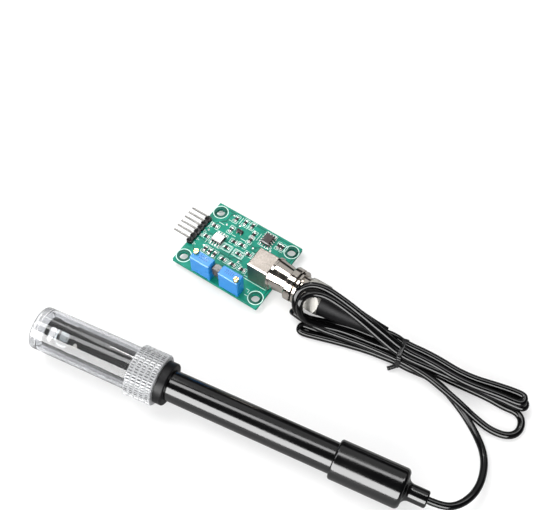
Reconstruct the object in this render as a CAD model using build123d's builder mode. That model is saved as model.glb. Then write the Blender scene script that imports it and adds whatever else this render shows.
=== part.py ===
from build123d import *
from math import atan, cos, pi, radians, sin, sqrt, tan
import os

# A pH electrode in its storage bottle, with its cord and a bayonet plug that is plugged into
# a small signal board. Millimetres. +X runs along the electrode from its tip to its cord,
# +Z is up, and the origin lies under the middle of the electrode and board.

# Clearances
slip = 0.08  # radial play of a piece that slides or turns on another
glue_gap = 0.03  # radial gap of a piece that is glued or pressed in
lead_play = 0.07  # radial play of a lead in its hole in the board

# Electrode, with places along the probe counted from the bottle's closed end
tube_r = 6.0
tube_wall = 1.0
tube_length = 115.6
guard_length = 14.9
guard_wall = 1.1
guard_inner_wall = 1.7
spigot_length = 4.6
window_length = 8.6
window_width = 6.0
window_inset = 1.5
window_corner_r = 1.2
window_turn = 58.0  # degrees up from the horizontal, towards the front
bulb_r = 4.0
bulb_inset = 6.0
glass_wall = 0.5
stem_r = 3.0
stem_length = 43.5
wire_r = 0.5
wire_play = 0.06
reference_wire_r = 0.4
reference_wire_length = 103.0
wire_reach = 0.5  # from the bulb's middle
junction_r = 0.8
junction_inset = 13.5
junction_recess = 0.05
tip_seal_length = 1.4
tip_seal_inset = 12.5
plug_disc_length = 4.0
cap_r = 7.6
cap_length = 27.1
cap_overlap = 12.2
cap_front_edge = 1.0
cap_rear_edge = 1.8
nose_r = 3.25
nose_length = 8.6
nose_root_r = 2.39
nose_edge = 0.8

# Storage bottle with its sealing ring and nut
bottle_r = 8.5
bottle_wall = 1.1
bottle_floor = 2.0
bottle_length = 49.3
bottle_edge = 1.2
bottle_inner_edge = 1.5
tip_gap = 3.0  # from the bottle's floor to the electrode's tip
thread_r = 8.75
thread_length = 7.0
nut_r = 10.1
nut_length = 11.2
nut_reach = 7.4  # how far the nut covers the bottle
nut_lip = 2.0
nut_edge = 0.5
thread_play = 0.3
seal_collar_length = 1.5
seal_collar_r = 8.2
seal_neck_r = 7.05
seal_play = 0.3
flange_r = 8.4
flange_length = 3.5
flange_edge = 0.6
knurl_count = 48
knurl_depth = 0.4
knurl_rows = 4
knurl_inset = 1.2

# Signal board, with places in its own u (towards the plug) and v (towards the back)
board_length = 42.0
board_width = 34.0
board_t = 1.6
board_corner_r = 0.4
board_turn = 9.3  # degrees, clockwise from above
board_x = -27.29
board_to_probe = 66.13  # from the probe's axis to the board's centre, across
lead_out = 2.0  # leads below the board
hole_u = 18.0
hole_v = 13.1
hole_r = 1.8

# Socket on the board
jack_v = -2.65
jack_height = 7.4
block_front = 10.3
block_length = 9.5
block_width = 9.6
block_height = 11.8
block_edge = 0.5
barrel_r = 4.8
barrel_bore_r = 4.1
barrel_length = 8.7
stud_r = 0.95
stud_reach = 5.5
stud_setback = 3.9  # from the barrel's mouth
post_r = 0.6
post_inset = 1.2
socket_insulator_r = 2.2
socket_insulator_mouth = 2.5  # from the barrel's mouth
contact_r = 1.15
contact_bore_r = 0.75
contact_bore_depth = 6.0
contact_mouth = 3.0
contact_leg = 1.0
contact_leg_inset = 1.8

# Plug on the cord, along the socket's axis
mate_gap = 0.4  # from the socket's block to the collar's rim
collar_rim_r = 6.9
collar_rim_length = 1.0
collar_front_r = 6.5
collar_back_r = 5.7
collar_cone_length = 6.6
grip_r = 7.1
grip_length = 3.2
collar_edge = 0.3
collar_play = 0.25
slot_depth = 0.7
slot_play = 0.35
bayonet_draw = 3.0
bayonet_turn = 75.0
collar_lip = 0.6
sleeve_r = 3.95
sleeve_bore_r = 3.35
sleeve_reach = 7.5  # how far the sleeve enters the barrel
gasket_length = 0.7
gasket_r = 4.75
ring_length = 1.0
washer_length = 0.7
plug_neck_r = 4.1
shoulder_r = 7.0
shoulder_length = 1.4
shoulder_gap = 0.4
shoulder_edge = 0.25
rear_neck_r = 5.6
rear_neck_length = 2.3
spigot_r = 4.6
plug_spigot_length = 5.0
pin_r = 0.65
pin_reach = 1.0
pin_length = 12.5
pin_insulator_setback = 3.0  # from the body's rear end
nut_flat_r = 7.2  # across the clamping nut's corners
clamp_nut_length = 8.2
clamp_nut_front_r = 5.9
clamp_nut_rear_r = 6.2
clamp_nut_front_slope = 1.3
clamp_nut_bore_r = 3.0

# Cord
cord_r = 1.4
cord_first_run = 6.1
boot_front_r = 6.1
boot_end_r = 2.2
boot_end = (42.5, 16.8, 9.0)
boot_heading = (1.0, 0.03, -0.09)
room_gap = 0.4  # from the hank to the plug
tie_x = 50.5
tie_width = 1.8
tie_t = 0.8
tie_gap = 0.1

# Parts on the board
header_count = 6
pin_pitch = 2.54
pin_size = 0.64
pin_bend_r = 0.5
pin_lift = 2.7  # from the board to the middle of the bent pins
header_v = 0.4
header_leg = -20.05
header_tip = -28.1
strip_width = 2.5
strip_height = 1.5
strip_notch = 0.5
trimmer_length = 9.5
trimmer_width = 4.7
trimmer_height = 10.0
trimmer_foot = 0.5
trimmer_edge = 0.3
trimmer_1_place = (-6.65, -14.65)
trimmer_2_place = (7.2, -14.55)
trimmer_1_screw_place = (-10.2, -13.7)
trimmer_2_screw_place = (10.6, -15.5)
trimmer_lead_r = 0.3
screw_r = 1.1
screw_out = 1.5
screw_depth = 3.5
screw_slot = 0.5
screw_edge = 0.15
sensor_place = (0.28, -14.3)
sensor_r = 2.0
sensor_flat = 1.0
sensor_height = 4.6
sensor_lift = 3.4
sensor_lead_r = 0.25
chip_height = 1.5
chip_lift = 0.15
chip_length = 4.9
chip_width = 3.9
chip_edge = 0.3
gull_pitch = 1.27
gull_width = 0.42
gull_t = 0.2
gull_reach = 3.05
chip_1_place = (-10.75, 1.3)
chip_2_place = (6.6, 12.4)
transistor_place = (-5.4, 9.3)
transistor_length = 2.9
transistor_width = 1.4
transistor_height = 1.0
transistor_pitch = 0.95
transistor_reach = 1.3
resistor_length = 2.0
resistor_width = 1.25
resistor_height = 0.5
resistor_places = [
    ((-12.6, -5.6), 90),
    ((-10.2, -5.7), 90),
    ((-7.9, -5.7), 90),
    ((-3.5, -5.5), 0),
    ((1.2, -5.5), 0),
    ((5.9, -5.3), 0),
    ((-5.7, -0.1), 0),
    ((0.3, 0.0), 0),
    ((-16.0, 6.0), 0),
    ((-15.8, -0.2), 0),
    ((-10.4, 13.8), 90),
    ((-6.1, 14.4), 90),
    ((-9.2, 8.2), 90),
    ((-4.5, 3.9), 0),
    ((-0.9, 4.4), 0),
    ((-2.7, 14.6), 90),
    ((0.2, 11.3), 90),
    ((0.5, 8.4), 90),
    ((4.0, 2.2), 0),
    ((13.6, 12.6), 90),
    ((12.0, 12.6), 90),
]
resistor_cap = 0.35
solder_rim = 0.3
solder_tip = 0.08
solder_height = 0.9


# Places along the probe
guard_start = bottle_floor + tip_gap
tube_start = guard_start + guard_length
tube_end = tube_start + tube_length
cap_start = tube_end - cap_overlap
cap_end = cap_start + cap_length
nose_end = cap_end + nose_length
nut_start = bottle_length - nut_reach
nut_end = nut_start + nut_length
lip_start = nut_end - nut_lip

# The probe rests on the nut's rear rim and the cap's rear rim, so it tilts a little
rest_front = nut_end - nut_edge
rest_rear = cap_end - cap_rear_edge
tilt = atan((nut_r - cap_r) / (rest_rear - rest_front))
probe_height = rest_front * sin(tilt) + nut_r * cos(tilt)

# The frame's origin is under the middle of the probe's length and of the whole depth
turn = radians(board_turn)
board_back = (
    (board_width / 2 - board_corner_r) * cos(turn)
    + (board_length / 2 - board_corner_r) * sin(turn)
    + board_corner_r
)
depth = nut_r + board_to_probe + board_back
probe_y = nut_r - depth / 2
probe_half = (nose_end * cos(tilt) + (nose_r - nose_edge) * sin(tilt)) / 2
probe_front = -probe_half + (bottle_r - bottle_edge) * sin(tilt) / 2
probe_plane = Plane(
    origin=(probe_front, probe_y, probe_height),
    x_dir=(cos(tilt), 0, -sin(tilt)),
    z_dir=(0, -1, 0),
)
probe_axis = Axis(probe_plane.origin, probe_plane.x_dir)

# The board lies flat on the ends of its leads
board_top = lead_out + board_t
board_plane = Plane(
    origin=(board_x, probe_y + board_to_probe, board_top),
    x_dir=(cos(turn), -sin(turn), 0),
    z_dir=(0, 0, 1),
)
floor_plane = board_plane.offset(-board_top)
jack_plane = Plane(
    origin=board_plane.from_local_coords((0, jack_v, jack_height)),
    x_dir=board_plane.x_dir,
    z_dir=-board_plane.y_dir,
)
jack_axis = Axis(jack_plane.origin, jack_plane.x_dir)

# Places along the socket's axis
block_back = block_front + block_length
barrel_end = block_back + barrel_length
collar_start = block_back + mate_gap
gasket_start = barrel_end
ring_start = gasket_start + gasket_length
washer_start = ring_start + ring_length
lip_front = washer_start + washer_length
collar_end = lip_front + collar_lip
shoulder_start = collar_end + shoulder_gap
shoulder_end = shoulder_start + shoulder_length
rear_neck_end = shoulder_end + rear_neck_length
clamp_nut_end = rear_neck_end + clamp_nut_length
sleeve_start = barrel_end - sleeve_reach


def across_probe(distance):
    """Plane square to the probe's axis, at a distance from the bottle's closed end."""
    return Plane(
        origin=probe_plane.from_local_coords((distance, 0, 0)),
        x_dir=-probe_plane.z_dir,
        z_dir=probe_plane.x_dir,
    )


def across_jack(distance):
    """Plane square to the socket's axis, with its own y up."""
    return Plane(
        origin=jack_plane.from_local_coords((distance, 0, 0)),
        x_dir=-jack_plane.z_dir,
        z_dir=jack_plane.x_dir,
    )


def turned(plane, angle):
    """The plane turned about its own normal."""
    return Plane(
        origin=plane.origin,
        x_dir=plane.x_dir * cos(radians(angle)) + plane.y_dir * sin(radians(angle)),
        z_dir=plane.z_dir,
    )


def section(plane, *points):
    """Closed outline on a plane."""
    with BuildSketch(plane) as drawn:
        with BuildLine():
            Polyline(*points, close=True)
        make_face()
    return drawn.sketch


def rims(piece, radius, axis):
    """The piece's round edges of one radius, in order along an axis."""
    round_edges = piece.edges().filter_by(GeomType.CIRCLE)
    return round_edges.filter_by(lambda edge: abs(edge.radius - radius) < 0.01).sort_by(axis)


# Electrode: tube, tip guard and what they hold

with BuildPart() as electrode_tube:
    with BuildSketch(across_probe(tube_start)):
        Circle(tube_r)
        Circle(tube_r - tube_wall, mode=Mode.SUBTRACT)
    extrude(amount=tube_length)

spigot_outer_r = tube_r - tube_wall - glue_gap
spigot_bore_r = tube_r - guard_inner_wall
window_centre = guard_start + window_inset + window_length / 2
seal_step = guard_start + tip_seal_inset


def window_plane(distance, angle):
    """Plane along the probe's axis that faces out at an angle up from the front."""
    facing = probe_plane.z_dir * cos(radians(angle)) + probe_plane.y_dir * sin(radians(angle))
    return Plane(
        origin=probe_plane.from_local_coords((distance, 0, 0)),
        x_dir=probe_plane.x_dir,
        z_dir=facing,
    )


with BuildPart() as tip_guard:
    guard_profile = section(
        probe_plane,
        (guard_start, tube_r - guard_wall),
        (guard_start, tube_r),
        (tube_start, tube_r),
        (tube_start, spigot_outer_r),
        (tube_start + spigot_length, spigot_outer_r),
        (tube_start + spigot_length, spigot_bore_r),
        (seal_step, spigot_bore_r),
        (seal_step, tube_r - guard_wall),
    )
    revolve(guard_profile, axis=probe_axis)
    for angle in (window_turn, window_turn + 90):
        with BuildSketch(window_plane(window_centre, angle)):
            RectangleRounded(window_length, window_width, window_corner_r)
        extrude(amount=tube_r + 1, both=True, mode=Mode.SUBTRACT)
    with BuildSketch(window_plane(guard_start + junction_inset, window_turn)):
        Circle(junction_r + glue_gap)
    extrude(amount=tube_r + 1, mode=Mode.SUBTRACT)

with BuildPart() as reference_junction:
    with BuildSketch(window_plane(guard_start + junction_inset, window_turn)):
        Circle(junction_r)
    extrude(amount=tube_r - junction_recess)
    with BuildSketch(across_probe(guard_start)):
        Circle(spigot_bore_r)
    extrude(amount=guard_length, mode=Mode.SUBTRACT)

bulb_centre = guard_start + bulb_inset
stem_end = bulb_centre + stem_length

with BuildPart() as glass_bulb:
    with BuildSketch(probe_plane):
        with Locations((bulb_centre, 0)):
            Circle(bulb_r)
            Rectangle(stem_length, 2 * stem_r, align=(Align.MIN, Align.CENTER))
            Circle(bulb_r - glass_wall, mode=Mode.SUBTRACT)
            Rectangle(
                stem_length - 2 * glass_wall,
                2 * (stem_r - glass_wall),
                align=(Align.MIN, Align.CENTER),
                mode=Mode.SUBTRACT,
            )
        with Locations((stem_end, 0)):
            Rectangle(
                4 * glass_wall,
                2 * (wire_r + wire_play),
                mode=Mode.SUBTRACT,
            )
        with Locations((bulb_centre - 2 * bulb_r, 0)):
            Rectangle(
                stem_length + 4 * bulb_r,
                2 * bulb_r,
                align=(Align.MIN, Align.MAX),
                mode=Mode.SUBTRACT,
            )
    revolve(axis=probe_axis)

with BuildPart() as tip_seal:
    with BuildSketch(across_probe(seal_step)):
        Circle(tube_r - guard_wall - glue_gap)
        Circle(stem_r + glue_gap, mode=Mode.SUBTRACT)
    extrude(amount=-tip_seal_length)

wire_start = bulb_centre + wire_reach
with BuildPart() as silver_wire:
    with BuildSketch(across_probe(wire_start)):
        Circle(wire_r)
    extrude(amount=tube_end - wire_start)

reference_wire_offset = (stem_r + tube_r - tube_wall) / 2
with BuildPart() as reference_wire:
    with BuildSketch(across_probe(tube_end - reference_wire_length)):
        with Locations((0, reference_wire_offset)):
            Circle(reference_wire_r)
    extrude(amount=reference_wire_length)

with BuildPart() as tube_plug:
    with BuildSketch(across_probe(tube_end)):
        Circle(tube_r - tube_wall - glue_gap)
        Circle(wire_r + wire_play, mode=Mode.SUBTRACT)
        with Locations((0, reference_wire_offset)):
            Circle(reference_wire_r + wire_play, mode=Mode.SUBTRACT)
    extrude(amount=-plug_disc_length)

with BuildPart() as electrode_cap:
    cap_profile = section(
        probe_plane,
        (cap_start, tube_r + glue_gap),
        (cap_start, cap_r),
        (cap_end, cap_r),
        (cap_end, nose_r),
        (nose_end, nose_r),
        (nose_end, 0),
        (tube_end, 0),
        (tube_end, tube_r + glue_gap),
    )
    revolve(cap_profile, axis=probe_axis)
    fillet(rims(electrode_cap, cap_r, probe_axis)[0], cap_front_edge)
    fillet(rims(electrode_cap, cap_r, probe_axis)[-1], cap_rear_edge)
    fillet(rims(electrode_cap, nose_r, probe_axis)[0], nose_root_r)
    fillet(rims(electrode_cap, nose_r, probe_axis)[-1], nose_edge)


# Storage bottle, sealing ring and nut

bottle_bore_r = bottle_r - bottle_wall
thread_start = bottle_length - thread_length

with BuildPart() as storage_bottle:
    bottle_profile = section(
        probe_plane,
        (0, 0),
        (0, bottle_r),
        (thread_start, bottle_r),
        (thread_start, thread_r),
        (bottle_length, thread_r),
        (bottle_length, bottle_bore_r),
        (bottle_floor, bottle_bore_r),
        (bottle_floor, 0),
    )
    revolve(bottle_profile, axis=probe_axis)
    fillet(rims(storage_bottle, bottle_r, probe_axis)[0], bottle_edge)
    fillet(rims(storage_bottle, bottle_bore_r, probe_axis)[0], bottle_inner_edge)

seal_collar_end = bottle_length + seal_collar_length
flange_start = nut_end + seal_play

with BuildPart() as seal_ring:
    ring_profile = section(
        probe_plane,
        (bottle_length, tube_r + slip),
        (bottle_length, seal_collar_r),
        (seal_collar_end, seal_collar_r),
        (seal_collar_end, seal_neck_r),
        (flange_start, seal_neck_r),
        (flange_start, flange_r),
        (flange_start + flange_length, flange_r),
        (flange_start + flange_length, tube_r + slip),
    )
    revolve(ring_profile, axis=probe_axis)
    fillet(rims(seal_ring, flange_r, probe_axis)[-1], flange_edge)

with BuildPart() as bottle_nut:
    nut_profile = section(
        probe_plane,
        (nut_start, thread_r + thread_play),
        (nut_start, nut_r),
        (nut_end, nut_r),
        (nut_end, seal_neck_r + seal_play),
        (lip_start, seal_neck_r + seal_play),
        (lip_start, thread_r + thread_play),
    )
    revolve(nut_profile, axis=probe_axis)
    chamfer(rims(bottle_nut, nut_r, probe_axis), nut_edge)
    with BuildSketch(across_probe(nut_start)):
        with PolarLocations(nut_r, knurl_count):
            RegularPolygon(knurl_depth, 4)
    extrude(amount=nut_length, mode=Mode.SUBTRACT)
    for row in range(knurl_rows):
        groove_place = knurl_inset + (row + 0.5) * (nut_length - 2 * knurl_inset) / knurl_rows
        groove = section(
            probe_plane,
            (nut_start + groove_place - knurl_depth, nut_r + 0.01),
            (nut_start + groove_place, nut_r - knurl_depth),
            (nut_start + groove_place + knurl_depth, nut_r + 0.01),
        )
        revolve(groove, axis=probe_axis, mode=Mode.SUBTRACT)


# Where leads go through the board

header_places = [
    (header_leg, header_v + (number - (header_count - 1) / 2) * pin_pitch)
    for number in range(header_count)
]
trimmer_places = [
    (place[0] + step * pin_pitch, place[1])
    for place in (trimmer_1_place, trimmer_2_place)
    for step in (-1, 0, 1)
]
sensor_places = [(sensor_place[0] + step * gull_pitch, sensor_place[1]) for step in (-1, 0, 1)]
post_places = [
    (block_front + along, jack_v + side * (block_width / 2 - post_inset))
    for along in (post_inset, block_length - post_inset)
    for side in (-1, 1)
]
contact_place = (block_front + contact_leg_inset, jack_v)
lead_sets = [
    (header_places, pin_size / sqrt(2) + lead_play),
    (trimmer_places, trimmer_lead_r + lead_play),
    (sensor_places, sensor_lead_r + lead_play),
    (post_places, post_r + lead_play),
    ([contact_place], contact_leg / sqrt(2) + lead_play),
]

with BuildPart() as circuit_board:
    with BuildSketch(board_plane):
        RectangleRounded(board_length, board_width, board_corner_r)
        with GridLocations(2 * hole_u, 2 * hole_v, 2, 2):
            Circle(hole_r, mode=Mode.SUBTRACT)
        for places, radius in lead_sets:
            with Locations(*places):
                Circle(radius, mode=Mode.SUBTRACT)
    extrude(amount=-board_t)

with BuildPart(board_plane.offset(-board_t)) as solder_joints:
    for places, radius in lead_sets:
        with Locations(*places):
            Cone(
                bottom_radius=radius + solder_tip,
                top_radius=radius + solder_rim,
                height=solder_height,
                align=(Align.CENTER, Align.CENTER, Align.MAX),
            )
            Cylinder(radius, 3 * solder_height, mode=Mode.SUBTRACT)


# Socket on the board

contact_start = block_front + contact_leg_inset - contact_leg / 2
insulator_start = contact_start + contact_leg + glue_gap
insulator_end = barrel_end - socket_insulator_mouth
contact_end = barrel_end - contact_mouth

with BuildPart() as socket_body:
    with BuildSketch(board_plane):
        with Locations((block_front, jack_v)):
            Rectangle(block_length, block_width, align=(Align.MIN, Align.CENTER))
    extrude(amount=block_height)
    chamfer(socket_body.edges().group_by(Axis.Z)[-1], block_edge)
    with BuildSketch(across_jack(block_back)):
        Circle(barrel_r)
    extrude(amount=barrel_length)
    with BuildSketch(jack_plane):
        with Locations((barrel_end - stud_setback, 0)):
            Circle(stud_r)
    extrude(amount=stud_reach, both=True)
    with BuildSketch(across_jack(block_back)):
        Circle(barrel_bore_r)
    extrude(amount=barrel_length, mode=Mode.SUBTRACT)
    with BuildSketch(across_jack(contact_start - glue_gap)):
        Circle(socket_insulator_r + glue_gap)
    extrude(amount=block_back - contact_start + glue_gap, mode=Mode.SUBTRACT)
    with BuildSketch(board_plane):
        with Locations(contact_place):
            Rectangle(contact_leg + 2 * glue_gap, 2 * socket_insulator_r)
    extrude(amount=jack_height, mode=Mode.SUBTRACT)
    with BuildSketch(floor_plane):
        with Locations(*post_places):
            Circle(post_r)
    extrude(amount=board_top)

with BuildPart() as socket_insulator:
    with BuildSketch(across_jack(insulator_start)):
        Circle(socket_insulator_r)
        Circle(contact_r + glue_gap, mode=Mode.SUBTRACT)
    extrude(amount=insulator_end - insulator_start)

with BuildPart() as socket_contact:
    with BuildSketch(across_jack(contact_start)):
        Circle(contact_r)
    extrude(amount=contact_end - contact_start)
    with BuildSketch(across_jack(contact_end)):
        Circle(contact_bore_r)
    extrude(amount=-contact_bore_depth, mode=Mode.SUBTRACT)
    with BuildSketch(floor_plane):
        with Locations(contact_place):
            Rectangle(contact_leg, contact_leg)
    extrude(amount=board_top + jack_height)


# Plug on the cord

stud_place = barrel_end - stud_setback
slot_r = barrel_r + collar_play + slot_depth
slot_half = stud_r + slot_play
released = stud_place - bayonet_draw
cone_start = collar_start + collar_rim_length
cone_end = cone_start + collar_cone_length
grip_start = collar_end - grip_length


def stud_plane(distance, angle):
    """Plane at the socket's axis that faces out like a stud turned by an angle."""
    ahead = turned(across_jack(distance), angle)
    return Plane(origin=ahead.origin, x_dir=ahead.z_dir, z_dir=ahead.x_dir)


ramp_line = Helix(bayonet_draw * 360 / bayonet_turn, bayonet_draw, slot_r - slot_depth)

with BuildPart() as plug_collar:
    collar_profile = section(
        jack_plane,
        (collar_start, barrel_r + collar_play),
        (collar_start, collar_rim_r),
        (cone_start, collar_rim_r),
        (cone_start, collar_front_r),
        (cone_end, collar_back_r),
        (grip_start, collar_back_r),
        (grip_start, grip_r),
        (collar_end, grip_r),
        (collar_end, plug_neck_r + collar_play),
        (lip_front, plug_neck_r + collar_play),
        (lip_front, barrel_r + collar_play),
    )
    revolve(collar_profile, axis=jack_axis)
    chamfer(rims(plug_collar, grip_r, jack_axis), collar_edge)
    for side in (0, 180):
        entry = turned(across_jack(collar_start), side - bayonet_turn)
        with BuildSketch(entry):
            Rectangle(slot_r, 2 * slot_half, align=(Align.MIN, Align.CENTER))
        extrude(amount=released - collar_start, mode=Mode.SUBTRACT)
        with BuildSketch(stud_plane(released, side - bayonet_turn)):
            Circle(slot_half)
        extrude(amount=slot_r, mode=Mode.SUBTRACT)
        with BuildSketch(stud_plane(stud_place, side)):
            Circle(slot_half)
        extrude(amount=slot_r, mode=Mode.SUBTRACT)
        ramp = turned(across_jack(released), side - bayonet_turn).location * ramp_line
        with BuildSketch(Plane(origin=ramp @ 0, x_dir=entry.x_dir, z_dir=ramp % 0)):
            Rectangle(2 * slot_depth, 2 * slot_half)
        sweep(path=ramp, is_frenet=True, mode=Mode.SUBTRACT)

with BuildPart() as plug_body:
    body_profile = section(
        jack_plane,
        (sleeve_start, sleeve_bore_r),
        (sleeve_start, sleeve_r),
        (ring_start, sleeve_r),
        (ring_start, plug_neck_r),
        (shoulder_start, plug_neck_r),
        (shoulder_start, shoulder_r),
        (shoulder_end, shoulder_r),
        (shoulder_end, rear_neck_r),
        (rear_neck_end, rear_neck_r),
        (rear_neck_end, spigot_r),
        (rear_neck_end + plug_spigot_length, spigot_r),
        (rear_neck_end + plug_spigot_length, sleeve_bore_r),
    )
    revolve(body_profile, axis=jack_axis)
    chamfer(rims(plug_body, shoulder_r, jack_axis), shoulder_edge)

with BuildPart() as plug_gasket:
    with BuildSketch(across_jack(gasket_start)):
        Circle(gasket_r)
        Circle(sleeve_r + glue_gap, mode=Mode.SUBTRACT)
    extrude(amount=gasket_length)

with BuildPart() as retaining_ring:
    with BuildSketch(across_jack(ring_start)):
        Circle(barrel_r + collar_play / 2)
        Circle(plug_neck_r + glue_gap, mode=Mode.SUBTRACT)
    extrude(amount=ring_length)

with BuildPart() as spring_washer:
    with BuildSketch(across_jack(washer_start)):
        Circle(barrel_r + collar_play / 2)
        Circle(plug_neck_r + 2 * slip, mode=Mode.SUBTRACT)
    extrude(amount=washer_length - slip)

pin_insulator_start = insulator_end + mate_gap
pin_insulator_end = rear_neck_end + plug_spigot_length - pin_insulator_setback
with BuildPart() as pin_insulator:
    with BuildSketch(across_jack(pin_insulator_start)):
        Circle(sleeve_bore_r - glue_gap)
        Circle(pin_r + glue_gap, mode=Mode.SUBTRACT)
    extrude(amount=pin_insulator_end - pin_insulator_start)

with BuildPart() as centre_pin:
    with BuildSketch(across_jack(contact_end - contact_bore_depth + pin_reach)):
        Circle(pin_r)
    extrude(amount=pin_length)

with BuildPart() as clamp_nut:
    with BuildSketch(across_jack(rear_neck_end)):
        RegularPolygon(nut_flat_r, 6)
    extrude(amount=clamp_nut_length)
    nut_round = section(
        jack_plane,
        (rear_neck_end, spigot_r + glue_gap),
        (rear_neck_end, clamp_nut_front_r),
        (rear_neck_end + clamp_nut_front_slope, nut_flat_r),
        (clamp_nut_end - clamp_nut_front_slope, nut_flat_r),
        (clamp_nut_end, clamp_nut_rear_r),
        (clamp_nut_end, clamp_nut_bore_r),
        (rear_neck_end + plug_spigot_length, clamp_nut_bore_r),
        (rear_neck_end + plug_spigot_length, spigot_r + glue_gap),
    )
    revolve(nut_round, axis=jack_axis, mode=Mode.INTERSECT)

boot_start = across_jack(clamp_nut_end).origin
boot_reach = (Vector(*boot_end) - boot_start).length / 3
boot_line = Bezier(
    boot_start,
    boot_start + jack_plane.x_dir * boot_reach,
    Vector(*boot_end) - Vector(*boot_heading).normalized() * boot_reach,
    Vector(*boot_end),
)
boot_stations = (0, 0.3, 0.65, 1)


def boot_plane(station):
    """Plane square to the bent boot's centreline."""
    return Plane(origin=boot_line @ station, z_dir=boot_line % station)


def boot_r(station):
    """Radius of the boot along its length."""
    return boot_front_r + (boot_end_r - boot_front_r) * station


with BuildPart() as plug_boot:
    for station in boot_stations:
        with BuildSketch(boot_plane(station)):
            Circle(boot_r(station))
    loft()


# Cord: the tail from the cap's nose, the tied hank and the tie

tail_points = [
    tuple(across_probe(nose_end).origin),
    tuple(across_probe(nose_end + cord_first_run).origin),
    (90.7, -34.5, 6.7),
    (94.1, -27.8, 5.6),
    (94.7, -20.0, 3.9),
    (92.7, -11.6, 2.2),
    (87.2, -4.6, 1.45),
    (78.6, 2.6, 1.45),
    (66.5, 9.8, 1.45),
    (54.0, 9.8, 1.45),
]


def bend_radii(points):
    """Largest radius for each corner of a route: 0.45 of the shorter run over tan(half turn)."""
    radii = []
    for before, corner, after in zip(points, points[1:], points[2:]):
        run_in = Vector(*corner) - Vector(*before)
        run_out = Vector(*after) - Vector(*corner)
        half_turn = radians(run_in.get_angle(run_out)) / 2
        radii.append(0.45 * min(run_in.length, run_out.length) / tan(half_turn))
    return radii


tail_radii = bend_radii(tail_points)
print("Cord tail radii:", [round(radius, 1) for radius in tail_radii])

with BuildPart() as cord_tail:
    with BuildLine() as tail_line:
        FilletPolyline(*tail_points, radius=tail_radii)
    tail_route = tail_line.wire()
    with BuildSketch(Plane(origin=tail_route @ 0, z_dir=tail_route % 0)):
        Circle(cord_r)
    sweep(path=tail_route)
print("Cord tail length:", round(tail_route.length, 1))
print("Cord tail volume over section times length:",
      round(cord_tail.part.volume / (pi * cord_r**2 * tail_route.length), 4))

# Room that the hank leaves for the plug and its boot
with BuildPart() as plug_room:
    with BuildSketch(across_jack(collar_start)):
        Circle(nut_flat_r + room_gap)
    extrude(amount=clamp_nut_end - collar_start)
with BuildPart() as boot_room:
    for station in boot_stations:
        with BuildSketch(boot_plane(station)):
            Circle(boot_r(station) + room_gap)
    loft()

# Outlines of the folds over the plug, as (Y, Z) at each X
drape_outlines = {
    2.6: [(9.0, 0), (9.0, 5.0), (11.5, 13.0), (15.0, 18.6), (20.0, 19.0), (20.0, 15.0), (15.0, 0)],
    9.0: [(4.4, 0), (4.4, 5.0), (9.5, 15.0), (14.5, 21.2), (21.5, 21.2), (21.5, 17.0), (15.0, 0)],
    22.0: [(5.6, 0), (5.6, 4.5), (10.5, 13.5), (14.5, 19.5), (21.0, 19.5), (21.0, 16.0), (15.0, 0)],
    36.0: [(8.0, 0), (8.0, 4.0), (10.5, 10.5), (13.5, 15.6), (19.5, 15.6), (19.5, 12.5), (15.0, 0)],
    48.5: [(8.4, 0), (8.4, 4.0), (9.0, 7.2), (11.5, 8.4), (16.5, 8.4), (17.4, 6.0), (17.2, 0)],
}
waist_back = 17.2
waist_front = 8.9
waist_top = 8.2
waist_low = 0.9
waist_corner_r = 2.0
waist_length = 4.0
lobe_height = 6.4
loop_height = 2.9

with BuildPart() as cord_hank:
    for place, outline in drape_outlines.items():
        add(section(Plane.YZ.offset(place), *outline))
    loft(ruled=True)
    add(plug_room.part, mode=Mode.SUBTRACT)
    add(boot_room.part, mode=Mode.SUBTRACT)
    with BuildSketch(Plane.YZ.offset(tie_x - waist_length / 2)):
        with Locations(((waist_front + waist_back) / 2, (waist_low + waist_top) / 2)):
            RectangleRounded(waist_back - waist_front, waist_top - waist_low, waist_corner_r)
    extrude(amount=waist_length)
    lobe = section(
        Plane.XY,
        (52.5, 8.4),
        (54.0, 8.4),
        (54.0, 11.6),
        (66.0, 11.5),
        (70.0, 10.6),
        (75.0, 8.9),
        (83.0, 8.8),
        (93.3, 9.8),
        (99.5, 10.8),
        (101.8, 13.4),
        (100.4, 17.4),
        (96.6, 18.2),
        (87.7, 17.6),
        (72.3, 18.6),
        (61.4, 18.2),
        (52.5, 18.0),
    )
    extrude(lobe, amount=lobe_height)
    loop = section(
        Plane.XY,
        (80.0, 9.5),
        (84.0, 3.2),
        (90.0, 0.2),
        (95.5, -1.2),
        (99.4, -0.6),
        (102.2, 2.6),
        (102.6, 7.5),
        (101.0, 11.5),
        (80.0, 11.5),
    )
    extrude(loop, amount=loop_height)

with BuildPart() as cord_tie:
    with BuildSketch(Plane.YZ.offset(tie_x - tie_width / 2)):
        with Locations(((waist_front + waist_back) / 2, (waist_low + waist_top) / 2)):
            RectangleRounded(
                waist_back - waist_front + 2 * (tie_gap + tie_t),
                waist_top - waist_low + 2 * (tie_gap + tie_t) - tie_gap,
                waist_corner_r + tie_gap + tie_t,
            )
            RectangleRounded(
                waist_back - waist_front + 2 * tie_gap,
                waist_top - waist_low + 2 * tie_gap,
                waist_corner_r + tie_gap,
                mode=Mode.SUBTRACT,
            )
    extrude(amount=tie_width)


# Parts on the board

with BuildPart() as header_strip:
    with BuildSketch(board_plane):
        with Locations((header_leg, header_v)):
            Rectangle(strip_width, header_count * pin_pitch)
            with GridLocations(strip_width, pin_pitch, 2, header_count + 1):
                RegularPolygon(strip_notch, 4, mode=Mode.SUBTRACT)
        with Locations(*header_places):
            Rectangle(pin_size + 2 * glue_gap, pin_size + 2 * glue_gap, mode=Mode.SUBTRACT)
    extrude(amount=strip_height)

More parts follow.
